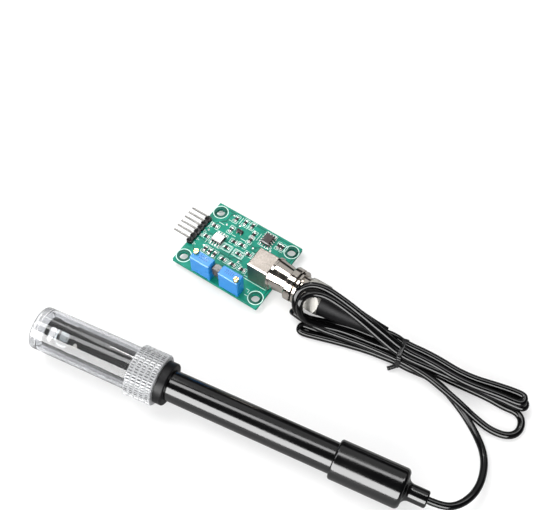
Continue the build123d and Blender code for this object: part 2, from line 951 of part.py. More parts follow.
with BuildPart() as header_pins:
    for place in header_places:
        upright = Plane(
            origin=board_plane.from_local_coords((0, place[1], 0)),
            x_dir=board_plane.x_dir,
            z_dir=-board_plane.y_dir,
        )
        with BuildSketch(upright) as bent_pin:
            with BuildLine():
                FilletPolyline(
                    (header_leg, -board_top),
                    (header_leg, pin_lift),
                    (header_tip, pin_lift),
                    radius=pin_bend_r + pin_size / 2,
                )
            trace(line_width=pin_size)
            chamfer(bent_pin.vertices().group_by(Axis.X)[0], pin_size / 4)
        extrude(amount=pin_size / 2, both=True)


def trimmer_body(place, screw_place):
    """Upright trimmer: a box on two feet with a bore for its screw."""
    with BuildPart() as body:
        with BuildSketch(board_plane):
            with Locations(place):
                Rectangle(trimmer_length, trimmer_width)
        extrude(amount=trimmer_height)
        chamfer(body.edges().filter_by(Axis.Z), trimmer_edge)
        chamfer(body.edges().group_by(Axis.Z)[-1], trimmer_edge)
        with BuildSketch(board_plane):
            with Locations(place):
                Rectangle(trimmer_length - 4 * trimmer_foot, trimmer_width + 1)
        extrude(amount=trimmer_foot, mode=Mode.SUBTRACT)
        with BuildSketch(board_plane.offset(trimmer_height)):
            with Locations(screw_place):
                Circle(screw_r + slip)
        extrude(amount=-screw_depth, mode=Mode.SUBTRACT)
    return body.part


def trimmer_screw(screw_place, heading):
    """Slotted screw that stands out of a trimmer's top."""
    with BuildPart() as screw:
        with BuildSketch(board_plane.offset(trimmer_height - screw_depth + glue_gap)):
            with Locations(screw_place):
                Circle(screw_r)
        extrude(amount=screw_depth - glue_gap + screw_out)
        chamfer(screw.edges().group_by(Axis.Z)[-1], screw_edge)
        with BuildSketch(board_plane.offset(trimmer_height + screw_out)):
            with Locations(Location(screw_place, heading)):
                Rectangle(3 * screw_r, screw_slot)
        extrude(amount=-1.2 * screw_slot, mode=Mode.SUBTRACT)
    return screw.part


with BuildPart() as trimmer_leads:
    with BuildSketch(floor_plane):
        with Locations(*trimmer_places):
            Circle(trimmer_lead_r)
    extrude(amount=board_top + trimmer_foot)

with BuildPart() as sensor_body:
    with BuildSketch(board_plane.offset(sensor_lift)):
        with Locations(sensor_place):
            Circle(sensor_r)
            with Locations((0, -sensor_flat)):
                Rectangle(3 * sensor_r, sensor_r, align=(Align.CENTER, Align.MAX), mode=Mode.SUBTRACT)
    extrude(amount=sensor_height)

with BuildPart() as sensor_leads:
    with BuildSketch(floor_plane):
        with Locations(*sensor_places):
            Circle(sensor_lead_r)
    extrude(amount=board_top + sensor_lift)


def board_spot(place, heading):
    """Plane on the board's top, centred on a place and turned by a heading."""
    return turned(board_plane.shift_origin(board_plane.from_local_coords(place)), heading)


def gull_lead(spot, along, body_half, reach, lead_top):
    """Outline of one bent chip lead, on a plane square to the chip's side."""
    upright = Plane(
        origin=spot.from_local_coords((along, 0, 0)),
        x_dir=spot.y_dir,
        z_dir=spot.x_dir,
    )
    shoulder = body_half + 0.3 * (reach - body_half)
    knee = body_half + 0.45 * (reach - body_half)
    return section(
        upright,
        (body_half, lead_top - gull_t),
        (body_half, lead_top),
        (shoulder, lead_top),
        (knee, gull_t),
        (reach, gull_t),
        (reach, 0),
        (knee - gull_t, 0),
        (shoulder - gull_t, lead_top - gull_t),
    )


amplifier_spots = [board_spot(chip_1_place, 0), board_spot(chip_2_place, 90)]

with BuildPart() as amplifier_chips:
    for spot in amplifier_spots:
        with BuildSketch(spot.offset(chip_lift)):
            Rectangle(chip_length, chip_width)
        extrude(amount=chip_height)
    chamfer(amplifier_chips.edges().group_by(Axis.Z)[-1], chip_edge)

with BuildPart() as amplifier_leads:
    for spot in amplifier_spots:
        for side in (spot, turned(spot, 180)):
            for step in (-1.5, -0.5, 0.5, 1.5):
                lead = gull_lead(
                    side, step * gull_pitch, chip_width / 2, gull_reach, chip_height / 2 + chip_lift
                )
                extrude(lead, amount=gull_width / 2, both=True)

transistor_spot = board_spot(transistor_place, 0)

with BuildPart() as transistor_body:
    with BuildSketch(transistor_spot.offset(chip_lift)):
        Rectangle(transistor_length, transistor_width)
    extrude(amount=transistor_height)
    chamfer(transistor_body.edges().group_by(Axis.Z)[-1], chip_edge / 2)

with BuildPart() as transistor_leads:
    back = turned(transistor_spot, 180)
    for side, along in ((transistor_spot, 0), (back, -transistor_pitch), (back, transistor_pitch)):
        lead = gull_lead(
            side, along, transistor_width / 2, transistor_reach, transistor_height / 2 + chip_lift
        )
        extrude(lead, amount=gull_width / 2, both=True)

resistor_spots = [board_spot(place, heading) for place, heading in resistor_places]
resistor_body = resistor_length - 2 * resistor_cap
resistor_cap_middle = (resistor_body + resistor_cap) / 2

with BuildPart() as chip_resistors:
    for spot in resistor_spots:
        with BuildSketch(spot):
            Rectangle(resistor_body, resistor_width)
        extrude(amount=resistor_height)

with BuildPart() as resistor_ends:
    for spot in resistor_spots:
        with BuildSketch(spot):
            with Locations((-resistor_cap_middle, 0), (resistor_cap_middle, 0)):
                Rectangle(resistor_cap, resistor_width)
        extrude(amount=resistor_height)


# One file for each piece

pieces = {
    "electrode_tube": electrode_tube.part,
    "tip_guard": tip_guard.part,
    "reference_junction": reference_junction.part,
    "glass_bulb": glass_bulb.part,
    "tip_seal": tip_seal.part,
    "silver_wire": silver_wire.part,
    "reference_wire": reference_wire.part,
    "tube_plug": tube_plug.part,
    "electrode_cap": electrode_cap.part,
    "storage_bottle": storage_bottle.part,
    "seal_ring": seal_ring.part,
    "bottle_nut": bottle_nut.part,
    "circuit_board": circuit_board.part,
    "solder_joints": solder_joints.part,
    "socket_body": socket_body.part,
    "socket_insulator": socket_insulator.part,
    "socket_contact": socket_contact.part,
    "plug_collar": plug_collar.part,
    "plug_body": plug_body.part,
    "plug_gasket": plug_gasket.part,
    "retaining_ring": retaining_ring.part,
    "spring_washer": spring_washer.part,
    "pin_insulator": pin_insulator.part,
    "centre_pin": centre_pin.part,
    "clamp_nut": clamp_nut.part,
    "plug_boot": plug_boot.part,
    "cord_tail": cord_tail.part,
    "cord_hank": cord_hank.part,
    "cord_tie": cord_tie.part,
    "header_strip": header_strip.part,
    "header_pins": header_pins.part,
    "trimmer_1_body": trimmer_body(trimmer_1_place, trimmer_1_screw_place),
    "trimmer_2_body": trimmer_body(trimmer_2_place, trimmer_2_screw_place),
    "trimmer_1_screw": trimmer_screw(trimmer_1_screw_place, 30),
    "trimmer_2_screw": trimmer_screw(trimmer_2_screw_place, 75),
    "trimmer_leads": trimmer_leads.part,
    "sensor_body": sensor_body.part,
    "sensor_leads": sensor_leads.part,
    "amplifier_chips": amplifier_chips.part,
    "amplifier_leads": amplifier_leads.part,
    "transistor_body": transistor_body.part,
    "transistor_leads": transistor_leads.part,
    "chip_resistors": chip_resistors.part,
    "resistor_ends": resistor_ends.part,
}

os.makedirs("parts", exist_ok=True)
for name, piece in pieces.items():
    piece.label = name
    export_step(piece, f"parts/{name}.step")
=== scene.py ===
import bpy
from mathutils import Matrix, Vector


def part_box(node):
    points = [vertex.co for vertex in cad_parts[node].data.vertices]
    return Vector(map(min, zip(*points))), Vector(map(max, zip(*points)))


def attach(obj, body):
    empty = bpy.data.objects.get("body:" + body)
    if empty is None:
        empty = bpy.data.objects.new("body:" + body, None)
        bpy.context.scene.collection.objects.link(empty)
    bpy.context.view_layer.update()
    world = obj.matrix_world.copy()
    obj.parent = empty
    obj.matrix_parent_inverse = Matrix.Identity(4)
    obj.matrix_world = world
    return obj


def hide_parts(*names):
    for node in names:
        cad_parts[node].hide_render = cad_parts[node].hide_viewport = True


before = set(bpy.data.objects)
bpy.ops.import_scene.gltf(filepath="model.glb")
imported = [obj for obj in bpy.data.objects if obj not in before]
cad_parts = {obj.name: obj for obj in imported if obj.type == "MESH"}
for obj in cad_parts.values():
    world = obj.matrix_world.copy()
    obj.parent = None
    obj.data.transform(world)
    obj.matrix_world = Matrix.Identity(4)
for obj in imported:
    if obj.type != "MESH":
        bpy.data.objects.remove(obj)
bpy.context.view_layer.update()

from math import atan2, cos, pi, radians, sin

import bmesh
import bpy
from mathutils import Matrix, Vector

scene = bpy.context.scene
scene.view_settings.view_transform = "Standard"
mm = 0.001


# Camera: the photographer stands at the probe's right end and looks down over it to the board.

camera_target = Vector((-14.0, 36.1, 0.0)) * mm
camera_place = Vector((75.6, -157.6, 338.3)) * mm
lens = bpy.data.cameras.new("camera")
lens.sensor_fit = "HORIZONTAL"
lens.sensor_width = 36.0
lens.lens = 62.7
lens.clip_start = 0.01
lens.clip_end = 20.0
camera = bpy.data.objects.new("camera", lens)
camera.location = camera_place
camera.rotation_euler = (camera_target - camera_place).to_track_quat("-Z", "Y").to_euler()
scene.collection.objects.link(camera)
scene.camera = camera


# Cord: a thin black plastic-sheathed coaxial lead. It leaves the cap's nose, lies on the table,
# is folded to and fro into a hank and tied in the middle, and ends in the plug's rubber boot.

cord_radius = 1.4 * mm
cord_route = [
    # from the cap's nose round to the tie
    (79.5, -38.1, 7.33), (85.6, -38.1, 7.17), (90.7, -34.5, 6.7), (94.1, -27.8, 5.6),
    (94.7, -20.0, 3.9), (92.7, -11.6, 2.2), (87.2, -4.6, 1.45), (78.6, 2.6, 1.45),
    (66.5, 9.8, 1.45), (54.0, 9.8, 1.45),
    (50.5, 10.2, 2.25),
    # long low fold in front of the plug
    (44.0, 10.3, 1.9), (37.7, 10.4, 1.5), (27.7, 9.3, 1.45), (15.7, 7.4, 1.45),
    (12.4, 6.9, 1.45), (9.7, 7.2, 1.45), (9.7, 10.0, 1.45), (12.4, 10.2, 1.45),
    (17.0, 10.4, 1.45), (27.0, 12.2, 1.45), (38.0, 13.2, 1.5),
    (50.5, 13.0, 2.25),
    # lowest fold on the right
    (62.0, 13.3, 1.6), (76.0, 13.7, 1.45), (90.0, 13.2, 1.45), (97.5, 12.6, 1.45),
    (99.2, 12.9, 1.45), (99.0, 16.0, 1.45), (97.0, 16.2, 1.45), (90.0, 16.3, 1.45),
    (76.0, 16.1, 1.45), (62.0, 15.9, 1.6),
    (50.5, 15.8, 2.25),
    # fold that comes back over itself beside the plug
    (38.0, 16.0, 1.5), (26.0, 15.1, 1.45), (15.0, 13.6, 1.45), (7.0, 13.9, 1.45),
    (4.6, 13.9, 1.45), (4.4, 12.4, 4.4), (10.0, 10.9, 4.6), (17.0, 9.9, 4.2),
    (26.0, 10.5, 3.95), (38.0, 10.9, 4.1),
    (50.5, 10.2, 4.7),
    # large loose loop in front of the right end
    (62.3, 8.6, 4.4), (70.1, 5.9, 4.3), (78.1, 3.2, 3.4), (84.6, 0.9, 2.0),
    (91.5, -1.2, 1.45), (98.2, -0.9, 1.45), (101.6, 2.4, 1.45),
    (101.4, 7.4, 1.45), (98.6, 10.0, 1.45), (93.0, 10.0, 1.45), (87.2, 11.0, 1.45),
    (78.5, 11.4, 1.45), (71.1, 11.5, 1.6), (63.9, 11.2, 4.0),
    (50.5, 13.0, 4.7),
    # first loop over the plug's nut
    (38.0, 12.9, 4.3), (26.0, 13.0, 4.3), (17.0, 10.3, 6.2), (11.4, 8.3, 9.8),
    (9.0, 8.6, 13.9), (8.2, 10.4, 17.8), (9.2, 13.0, 19.3), (12.2, 15.6, 19.4),
    (17.0, 16.7, 18.6), (23.8, 16.0, 17.0), (31.8, 14.6, 14.6), (40.2, 12.8, 11.2),
    (50.5, 10.9, 7.2),
    # lower fold on the right
    (62.0, 11.0, 6.4), (76.0, 11.7, 3.9), (90.0, 11.4, 4.0), (98.0, 10.9, 3.9),
    (100.4, 11.4, 3.9), (100.4, 13.8, 3.9), (98.0, 14.3, 3.9), (90.0, 14.6, 4.0),
    (76.0, 14.5, 3.9), (62.0, 15.4, 4.2),
    (50.5, 15.8, 4.7),
    # second loop over the plug's nut
    (38.0, 15.8, 4.2), (25.6, 15.9, 4.0), (14.6, 11.9, 5.4), (8.9, 10.0, 8.2),
    (6.2, 10.8, 11.8), (5.4, 13.0, 16.0), (6.6, 16.0, 18.9), (10.0, 18.6, 19.7),
    (15.4, 19.4, 19.4), (22.8, 18.5, 17.7), (30.9, 16.9, 15.7), (40.1, 14.8, 13.0),
    (50.5, 13.6, 7.2),
    # upper fold on the right
    (62.0, 13.3, 6.7), (76.0, 10.8, 6.3), (90.0, 11.6, 6.0), (97.0, 11.5, 5.6),
    (99.2, 12.2, 5.6), (99.2, 15.0, 5.6), (97.0, 15.6, 5.6), (90.0, 15.2, 5.8),
    (76.0, 13.5, 6.3), (62.0, 16.2, 6.6),
    (50.5, 16.4, 7.2),
    # into the boot
    (46.5, 16.9, 8.6), (42.5, 16.8, 9.0), (39.5, 16.7, 9.2),
]

# The points' radius is small, because a curve's bounding box counts it in metres.
point_radius = 0.001
cord_line = bpy.data.curves.new("cord", "CURVE")
cord_line.dimensions = "3D"
cord_line.resolution_u = 10
cord_line.bevel_depth = cord_radius / point_radius
cord_line.bevel_resolution = 6
cord_line.use_fill_caps = True
spline = cord_line.splines.new("NURBS")
spline.points.add(len(cord_route) - 1)
for point, (x, y, z) in zip(spline.points, cord_route):
    point.co = (x * mm, y * mm, z * mm, 1.0)
    point.radius = point_radius
spline.order_u = 3
spline.use_endpoint_u = True
cord = bpy.data.objects.new("cord", cord_line)
scene.collection.objects.link(cord)
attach(cord, "electrode")
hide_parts("cord_tail", "cord_hank")


def add_node(tree, kind, inputs, **settings):
    """Shader node whose inputs are given as values or as other nodes' outputs."""
    node = tree.nodes.new("ShaderNode" + kind)
    for setting, value in settings.items():
        setattr(node, setting, value)
    for socket, source in inputs.items():
        if isinstance(source, bpy.types.NodeSocket):
            tree.links.new(source, node.inputs[socket])
        else:
            node.inputs[socket].default_value = source
    return node


def new_group(name, inputs, outputs):
    """Empty node group with named sockets, and those sockets as they are seen inside it."""
    group = bpy.data.node_groups.new(name, "ShaderNodeTree")
    for way, sockets in (("INPUT", inputs), ("OUTPUT", outputs)):
        for socket, kind in sockets.items():
            group.interface.new_socket(name=socket, in_out=way, socket_type="NodeSocket" + kind)
    return (group, group.nodes.new("NodeGroupInput").outputs,
            group.nodes.new("NodeGroupOutput").inputs)


# Handled gloss: the faint uneven shine of polished plastic and metal that has been handled,
# broad clouds for fingers and fine specks for dust.
handled, given, result = new_group(
    "handled gloss",
    {"Position": "Vector", "Least": "Float", "Most": "Float", "Cloud scale": "Float"},
    {"Roughness": "Float", "Height": "Float"},
)
clouds = add_node(handled, "TexNoise", {"Vector": given["Position"],
                                        "Scale": given["Cloud scale"], "Detail": 4.0})
specks = add_node(handled, "TexNoise", {"Vector": given["Position"],
                                        "Scale": 1500.0, "Detail": 2.0})
speck_share = 0.3
both = add_node(handled, "Math", {0: specks.outputs["Fac"], 1: speck_share,
                                  2: clouds.outputs["Fac"]}, operation="MULTIPLY_ADD")
spread = add_node(handled, "MapRange", {"Value": both.outputs["Value"],
                                        "From Min": 0.4, "From Max": 0.95,
                                        "To Min": given["Least"], "To Max": given["Most"]})
handled.links.new(spread.outputs["Result"], result["Roughness"])
handled.links.new(both.outputs["Value"], result["Height"])


def new_material(name, plain):
    """Material with plain values on its shader, its node tree, and places on its piece."""
    made = bpy.data.materials.new(name)
    made.use_nodes = True
    tree = made.node_tree
    shader = tree.nodes["Principled BSDF"]
    for socket, value in plain.items():
        shader.inputs[socket].default_value = value
    return made, tree, shader, add_node(tree, "TexCoord", {}).outputs["Object"]


def add_wear(tree, shader, group, values, bump=None):
    """A group's roughness on the shader, and its height as a bump of a strength and a depth."""
    worn = add_node(tree, "Group", values, node_tree=group)
    tree.links.new(worn.outputs["Roughness"], shader.inputs["Roughness"])
    if bump:
        relief = add_node(tree, "Bump", {"Strength": bump[0], "Distance": bump[1],
                                         "Height": worn.outputs["Height"]})
        tree.links.new(relief.outputs["Normal"], shader.inputs["Normal"])


def handled_material(name, plain, least, most, cloud_scale, bump=None):
    """Material of one colour whose gloss varies between a least and a most roughness."""
    made, tree, shader, position = new_material(name, plain)
    add_wear(tree, shader, handled, {"Position": position, "Least": least, "Most": most,
                                     "Cloud scale": cloud_scale}, bump)
    return made


cord_sheath = handled_material(
    "cord_sheath", {"Base Color": (0.0022, 0.0022, 0.0025, 1.0), "Specular IOR Level": 0.28},
    least=0.08, most=0.16, cloud_scale=220.0, bump=(0.12, 0.04 * mm))
cord_line.materials.append(cord_sheath)


# Tie: a flat strip of soft black plastic over a wire core, wound round the nine strands. Its two
# ends are twisted together under the hank's front edge.

tie_middle = 50.5 * mm
tie_low, tie_high = 0.75 * mm, 8.95 * mm
tie_near, tie_far = 8.1 * mm, 17.95 * mm
tie_corner = 2.0 * mm
tie_half_width, tie_half_depth, tie_round = 0.95 * mm, 0.36 * mm, 0.3 * mm
tie_ripple = 0.25 * mm


def sweep(mesh, rings):
    """Skin over rings of points, closed at both ends."""
    loops = [[mesh.verts.new(point) for point in ring] for ring in rings]
    for loop, following in zip(loops, loops[1:]):
        for number, vertex in enumerate(loop):
            mesh.faces.new((loop[number - 1], vertex, following[number], following[number - 1]))
    mesh.faces.new(loops[0])
    mesh.faces.new(loops[-1])


strip_section = []
for across, out, start in ((1, 1, 0), (-1, 1, 90), (-1, -1, 180), (1, -1, 270)):
    for step in range(4):
        angle = radians(start + 30 * step)
        strip_section.append((across * (tie_half_width - tie_round) + tie_round * cos(angle),
                              out * (tie_half_depth - tie_round) + tie_round * sin(angle)))

# the strip's two ends meet halfway round the corner at the top in front
tie = bmesh.new()
rings = []
for y, z, start in ((tie_near, tie_high, 90), (tie_near, tie_low, 180), (tie_far, tie_low, 270),
                    (tie_far, tie_high, 0), (tie_near, tie_high, 90)):
    middle_y = y + tie_corner if y == tie_near else y - tie_corner
    middle_z = z + tie_corner if z == tie_low else z - tie_corner
    for step in range(7):
        angle = radians(start + 15 * step)
        rings.append([
            (tie_middle + across + tie_ripple * sin(3 * angle),
             middle_y + (tie_corner + out) * cos(angle),
             middle_z + (tie_corner + out) * sin(angle))
            for across, out in strip_section
        ])
sweep(tie, rings[3:-3])

twist_start = Vector((tie_middle - 0.4 * mm, tie_near + 0.2 * mm, 2.1 * mm))
twist_end = Vector((tie_middle - 2.9 * mm, tie_near - 1.5 * mm, 0.95 * mm))
twist_angle, twist_steps = 3 * pi, 40
twist_offset = 0.42 * mm
twist_half_width, twist_half_depth = 0.75 * mm, 0.32 * mm
twist_way = (twist_end - twist_start).normalized()
twist_side = twist_way.cross(Vector((0, 0, 1))).normalized()
twist_up = twist_side.cross(twist_way)
for side in (0, pi):
    rings = []
    for step in range(twist_steps + 1):
        share = step / twist_steps
        angle = side + twist_angle * share
        out = cos(angle) * twist_side + sin(angle) * twist_up
        along = -sin(angle) * twist_side + cos(angle) * twist_up
        spine = twist_start.lerp(twist_end, share) + twist_offset * out
        rings.append([spine + twist_half_width * cos(turn) * along
                      + twist_half_depth * sin(turn) * out
                      for turn in (pi * number / 6 for number in range(12))])
    sweep(tie, rings)
bmesh.ops.recalc_face_normals(tie, faces=tie.faces)

tie_mesh = bpy.data.meshes.new("tie")
tie.to_mesh(tie_mesh)
tie.free()
tie_mesh.shade_smooth()
tie_piece = bpy.data.objects.new("tie_band", tie_mesh)
scene.collection.objects.link(tie_piece)
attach(tie_piece, "electrode")
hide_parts("cord_tie")

tie_strip = handled_material(
    "tie_strip", {"Base Color": (0.004, 0.004, 0.0045, 1.0), "Specular IOR Level": 0.3},
    least=0.2, most=0.36, cloud_scale=400.0, bump=(0.3, 0.06 * mm))
tie_mesh.materials.append(tie_strip)


# Electrode: an injection-moulded glossy black tube, with a tip guard and a turned-down cap
# glued on its ends. Inside are the glass bulb with its stem, two silver wires and a seal.

probe_middle = (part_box("electrode_tube")[0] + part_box("electrode_tube")[1]) / 2
probe_turn = (0.0, radians(1.49), 0.0)


def own_frame(tree, position, origin, turn):
    """Position counted from a place on the piece and along its own axes."""
    return add_node(tree, "Mapping", {"Vector": position, "Location": origin, "Rotation": turn},
                    vector_type="TEXTURE").outputs["Vector"]


def dress(material, *names):
    """The material takes every slot of the CAD nodes."""
    for name in names:
        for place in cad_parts[name].material_slots:
            place.material = material


# Two tones: a colour that wanders between a dark and a light tone, for pores, cast grain and
# the uneven depth of lacquer. Low and high are where the noise reaches each tone.
two_tones, given, result = new_group(
    "two tones",
    {"Position": "Vector", "Scale": "Float", "Detail": "Float", "Low": "Float", "High": "Float",
     "Dark": "Color", "Light": "Color"},
    {"Color": "Color"},
)
noise = add_node(two_tones, "TexNoise", {"Vector": given["Position"], "Scale": given["Scale"],
                                         "Detail": given["Detail"]})
light_share = add_node(two_tones, "MapRange", {"Value": noise.outputs["Fac"],
                                               "From Min": given["Low"],
                                               "From Max": given["High"]})
tone = add_node(two_tones, "Mix", {"Factor": light_share.outputs["Result"],
                                   "A": given["Dark"], "B": given["Light"]}, data_type="RGBA")
two_tones.links.new(tone.outputs["Result"], result["Color"])


def add_tones(tree, shader, values):
    """The two tones as the shader's colour."""
    toned = add_node(tree, "Group", values, node_tree=two_tones)
    tree.links.new(toned.outputs["Color"], shader.inputs["Base Color"])


polished_black, tree, shader, position = new_material(
    "polished_black", {"Base Color": (0.0012, 0.0012, 0.0015, 1.0), "Specular IOR Level": 0.5})
along = own_frame(tree, position, probe_middle, probe_turn)
add_wear(tree, shader, handled, {"Position": along, "Least": 0.1, "Most": 0.2,
                                 "Cloud scale": 60.0}, bump=(0.05, 0.05 * mm))
dress(polished_black, "electrode_tube", "tip_guard", "electrode_cap")

bulb_glass = handled_material(
    "bulb_glass", {"Base Color": (0.93, 0.97, 0.98, 1.0), "Transmission Weight": 1.0,
                   "IOR": 1.47},
    least=0.0, most=0.04, cloud_scale=150.0)
dress(bulb_glass, "glass_bulb")

drawn_silver = handled_material(
    "drawn_silver", {"Base Color": (0.72, 0.71, 0.69, 1.0), "Metallic": 1.0},
    least=0.2, most=0.45, cloud_scale=500.0)
dress(drawn_silver, "silver_wire", "reference_wire")

sealing_resin = handled_material(
    "sealing_resin", {"Base Color": (0.03, 0.03, 0.034, 1.0)},
    least=0.35, most=0.6, cloud_scale=300.0, bump=(0.3, 0.1 * mm))
dress(sealing_resin, "tip_seal", "tube_plug")

porous_ceramic, tree, shader, position = new_material("porous_ceramic", {"Roughness": 0.8})
add_tones(tree, shader, {"Position": position, "Scale": 4000.0, "Detail": 2.0,
                         "Low": 0.0, "High": 1.0,
                         "Dark": (0.62, 0.59, 0.53, 1.0), "Light": (0.86, 0.84, 0.8, 1.0)})
dress(porous_ceramic, "reference_junction")


# Storage bottle: a clear moulded vial with a thick bottom, pushed over the tip. A clear knurled
# nut screws on its neck and squeezes a rubber ring round the tube.

# Painted shade: the wall's colour is darker where it is seen edge on, where the thick wall also
# takes up more light.
clear_plastic, tree, shader, position = new_material(
    "clear_plastic", {"Transmission Weight": 1.0, "IOR": 1.47})
edge_on = add_node(tree, "LayerWeight", {"Blend": 0.5})
wall_edge_shade = add_node(tree, "ValToRGB", {"Fac": edge_on.outputs["Facing"]})
face_tone, edge_shade_tone = wall_edge_shade.color_ramp.elements
face_tone.position, face_tone.color = 0.02, (0.84, 0.845, 0.855, 1.0)
# the edge tone is painted shade for the wall's edges
edge_shade_tone.position, edge_shade_tone.color = 0.6, (0.48, 0.49, 0.51, 1.0)
tree.links.new(wall_edge_shade.outputs["Color"], shader.inputs["Base Color"])
along = own_frame(tree, position, probe_middle, probe_turn)
add_wear(tree, shader, handled, {"Position": along, "Least": 0.02, "Most": 0.09,
                                 "Cloud scale": 80.0}, bump=(0.05, 0.1 * mm))
dress(clear_plastic, "storage_bottle")

nut_middle = (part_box("bottle_nut")[0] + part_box("bottle_nut")[1]) / 2
tooth_count = 56
row_pitch = 2.2 * mm
# the second tone is painted shade that darkens the knurl's grooves
nut_face_tone, nut_groove_shade = (0.57, 0.577, 0.59, 1.0), (0.1, 0.102, 0.108, 1.0)


def crest_mask(tree, place, rate, low, high):
    """Smooth mask of the crests of a wave that repeats along a place or round an angle."""
    phase = add_node(tree, "Math", {0: place, 1: rate}, operation="MULTIPLY")
    wave = add_node(tree, "Math", {0: phase.outputs["Value"]}, operation="COSINE")
    return add_node(tree, "MapRange", {"Value": wave.outputs["Value"], "From Min": low,
                                       "From Max": high},
                    interpolation_type="SMOOTHSTEP").outputs["Result"]


# The grooves between the teeth are darkened with painted shade, and plain rings part them into
# rows of short dashes.
nut_plastic, tree, shader, position = new_material(
    "nut_plastic", {"Transmission Weight": 0.3, "IOR": 1.49})
along = own_frame(tree, position, nut_middle, probe_turn)
add_wear(tree, shader, handled, {"Position": along, "Least": 0.2, "Most": 0.34,
                                 "Cloud scale": 160.0}, bump=(0.1, 0.1 * mm))
axes = add_node(tree, "SeparateXYZ", {"Vector": along})
round_nut = add_node(tree, "Math", {0: axes.outputs["Z"], 1: axes.outputs["Y"]},
                     operation="ARCTAN2")
grooves = crest_mask(tree, round_nut.outputs["Value"], tooth_count, 0.0, 0.7)
rows = crest_mask(tree, axes.outputs["X"], 2 * pi / row_pitch, -0.75, -0.1)
dashes = add_node(tree, "Math", {0: grooves, 1: rows}, operation="MULTIPLY")
nut_tones = add_node(tree, "Mix", {"Factor": dashes.outputs["Value"], "A": nut_face_tone,
                                   "B": nut_groove_shade}, data_type="RGBA")
tree.links.new(nut_tones.outputs["Result"], shader.inputs["Base Color"])
dress(nut_plastic, "bottle_nut")

ring_rubber = handled_material(
    "ring_rubber", {"Base Color": (0.004, 0.004, 0.0045, 1.0), "Specular IOR Level": 0.14},
    least=0.3, most=0.5, cloud_scale=250.0, bump=(0.35, 0.08 * mm))
dress(ring_rubber, "seal_ring")


# Plug: nickel-plated brass. The collar's ramps catch the socket's two studs, the clamping nut
# holds the cord's braid in the body, and a moulded rubber boot keeps the cord from kinking.

jack_turn = (0.0, 0.0, radians(-9.3))
jack_origin = (-27.718 * mm, 25.415 * mm, 11.0 * mm)

# Turned marks: fine rings that a lathe leaves round the piece, polished away in patches.
turned_marks, given, result = new_group(
    "turned marks", {"Position": "Vector", "Least": "Float", "Most": "Float"},
    {"Roughness": "Float", "Height": "Float"},
)
turned_axes = add_node(turned_marks, "SeparateXYZ", {"Vector": given["Position"]})
lines = add_node(turned_marks, "TexNoise", {"W": turned_axes.outputs["X"], "Scale": 900.0,
                                            "Detail": 3.0}, noise_dimensions="1D")
patches = add_node(turned_marks, "TexNoise", {"Vector": given["Position"], "Scale": 350.0})
mixed = add_node(turned_marks, "Math", {0: lines.outputs["Fac"], 1: patches.outputs["Fac"]},
                 operation="MULTIPLY")
spread = add_node(turned_marks, "MapRange", {"Value": mixed.outputs["Value"],
                                             "From Min": 0.15, "From Max": 0.4,
                                             "To Min": given["Least"], "To Max": given["Most"]})
turned_marks.links.new(spread.outputs["Result"], result["Roughness"])
turned_marks.links.new(lines.outputs["Fac"], result["Height"])

nickel_plate, tree, shader, position = new_material(
    "nickel_plate", {"Base Color": (0.5, 0.46, 0.415, 1.0), "Metallic": 1.0})
along = own_frame(tree, position, jack_origin, jack_turn)
add_wear(tree, shader, turned_marks, {"Position": along, "Least": 0.06, "Most": 0.17},
         bump=(0.04, 0.03 * mm))
dress(nickel_plate, "plug_collar", "plug_body")

cast_nickel, tree, shader, position = new_material("cast_nickel", {"Metallic": 1.0})
add_tones(tree, shader, {"Position": position, "Scale": 1400.0, "Detail": 3.0,
                         "Low": 0.3, "High": 0.7,
                         "Dark": (0.23, 0.203, 0.182, 1.0), "Light": (0.33, 0.3, 0.27, 1.0)})
add_wear(tree, shader, handled, {"Position": position, "Least": 0.26, "Most": 0.42,
                                 "Cloud scale": 300.0}, bump=(0.2, 0.04 * mm))
dress(cast_nickel, "socket_body")

dull_nickel = handled_material(
    "dull_nickel", {"Base Color": (0.22, 0.215, 0.2, 1.0), "Metallic": 1.0},
    least=0.3, most=0.55, cloud_scale=700.0, bump=(0.5, 0.08 * mm))
dress(dull_nickel, "clamp_nut")

spring_steel, tree, shader, position = new_material(
    "spring_steel", {"Base Color": (0.55, 0.54, 0.53, 1.0), "Metallic": 1.0})
add_wear(tree, shader, turned_marks, {"Position": position, "Least": 0.2, "Most": 0.4})
dress(spring_steel, "retaining_ring", "spring_washer")

gold_plate = handled_material(
    "gold_plate", {"Base Color": (0.86, 0.62, 0.28, 1.0), "Metallic": 1.0},
    least=0.16, most=0.34, cloud_scale=500.0)
dress(gold_plate, "centre_pin", "socket_contact")

white_plastic = handled_material(
    "white_plastic", {"Base Color": (0.84, 0.83, 0.8, 1.0)},
    least=0.35, most=0.5, cloud_scale=400.0)
dress(white_plastic, "pin_insulator", "socket_insulator")
dress(ring_rubber, "plug_gasket")

boot_rubber = handled_material(
    "boot_rubber", {"Base Color": (0.003, 0.003, 0.0035, 1.0), "Specular IOR Level": 0.08},
    least=0.32, most=0.48, cloud_scale=200.0, bump=(0.2, 0.06 * mm))
dress(boot_rubber, "plug_boot")


# Signal board: green-lacquered glass-fibre laminate. Its parts are soldered on: black and white
# mouldings, glossy chips, tinned leads, and two blue trimmers with brass screws.

board_origin = (-27.29 * mm, 28.09 * mm, 3.6 * mm)

green_lacquer, tree, shader, position = new_material(
    "green_lacquer", {"Specular IOR Level": 0.16})
on_board = own_frame(tree, position, board_origin, jack_turn)
add_tones(tree, shader, {"Position": on_board, "Scale": 260.0, "Detail": 3.0,
                         "Low": 0.3, "High": 0.75,
                         "Dark": (0.0, 0.165, 0.108, 1.0), "Light": (0.0, 0.3, 0.205, 1.0)})
add_wear(tree, shader, handled, {"Position": on_board, "Least": 0.28, "Most": 0.5,
                                 "Cloud scale": 120.0})
dress(green_lacquer, "circuit_board")

